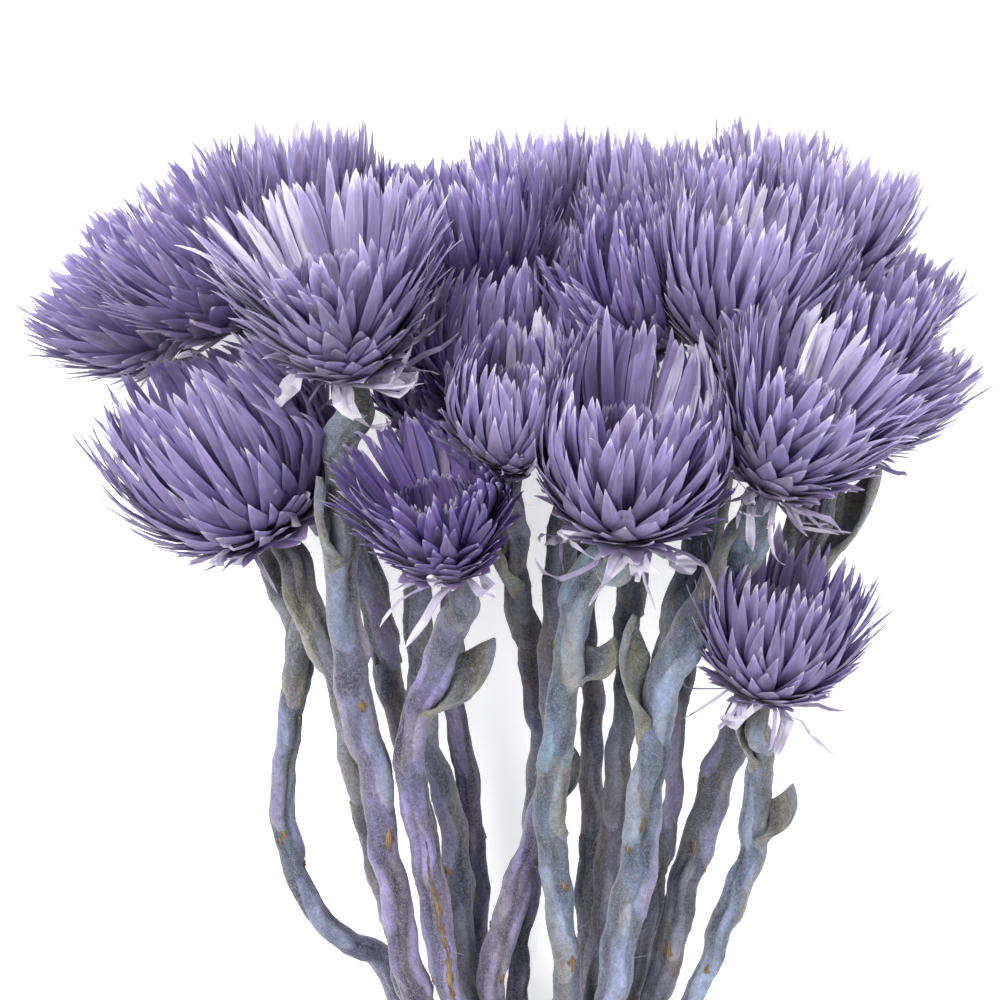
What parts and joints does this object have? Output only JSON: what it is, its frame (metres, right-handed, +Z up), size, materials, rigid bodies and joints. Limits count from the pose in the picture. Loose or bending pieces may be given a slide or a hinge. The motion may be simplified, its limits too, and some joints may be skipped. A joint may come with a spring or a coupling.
{
  "type": "dried everlasting flower bunch",
  "caption": "Lying bunch of dried papery everlasting flowers: pointed-bract heads on woolly, partly forked stems held by a rubber band.",
  "frame": {"origin": "middle of the footprint, on the surface that the bunch lies on", "axes": "+Y from the cut stem ends to the heads, +Z up from the surface, +X to the right seen from above"},
  "size_m": [0.1767, 0.2848, 0.1068],
  "materials": {
    "lilac_bract": "silky dry bracts, dyed lilac, silvery at the tips",
    "violet_bract": "silky dry bracts, dyed violet, silvery at the tips",
    "woolly_stem": "matt felt of grey wool, partly dyed lilac and teal",
    "rubber_band": "plain tan rubber, satin"
  },
  "bodies": {
    "root": {"band": "rubber_band", "head_01": "lilac_bract", "head_02": "lilac_bract", "head_03": "lilac_bract", "head_04": "lilac_bract", "head_05": "lilac_bract", "head_06": "violet_bract", "head_07": "violet_bract", "head_08": "violet_bract", "head_09": "lilac_bract", "head_10": "lilac_bract", "head_11": "lilac_bract", "head_12": "lilac_bract", "head_13": "lilac_bract", "head_14": "lilac_bract", "head_15": "lilac_bract", "head_16": "lilac_bract", "head_17": "violet_bract", "head_18": "lilac_bract", "head_19": "lilac_bract", "head_20": "lilac_bract", "head_21": "lilac_bract", "head_22": "lilac_bract", "head_23": "violet_bract", "head_24": "lilac_bract", "head_25": "violet_bract", "head_26": "lilac_bract", "head_27": "lilac_bract", "stem_01": "woolly_stem", "stem_02": "woolly_stem", "stem_03": "woolly_stem", "stem_04": "woolly_stem", "stem_05": "woolly_stem", "stem_06": "woolly_stem", "stem_07": "woolly_stem", "stem_08": "woolly_stem", "stem_09": "woolly_stem", "stem_10": "woolly_stem", "stem_11": "woolly_stem", "stem_12": "woolly_stem", "stem_13": "woolly_stem", "stem_14": "woolly_stem", "stem_15": "woolly_stem", "stem_16": "woolly_stem", "stem_17": "woolly_stem"}
  },
  "joints": []
}
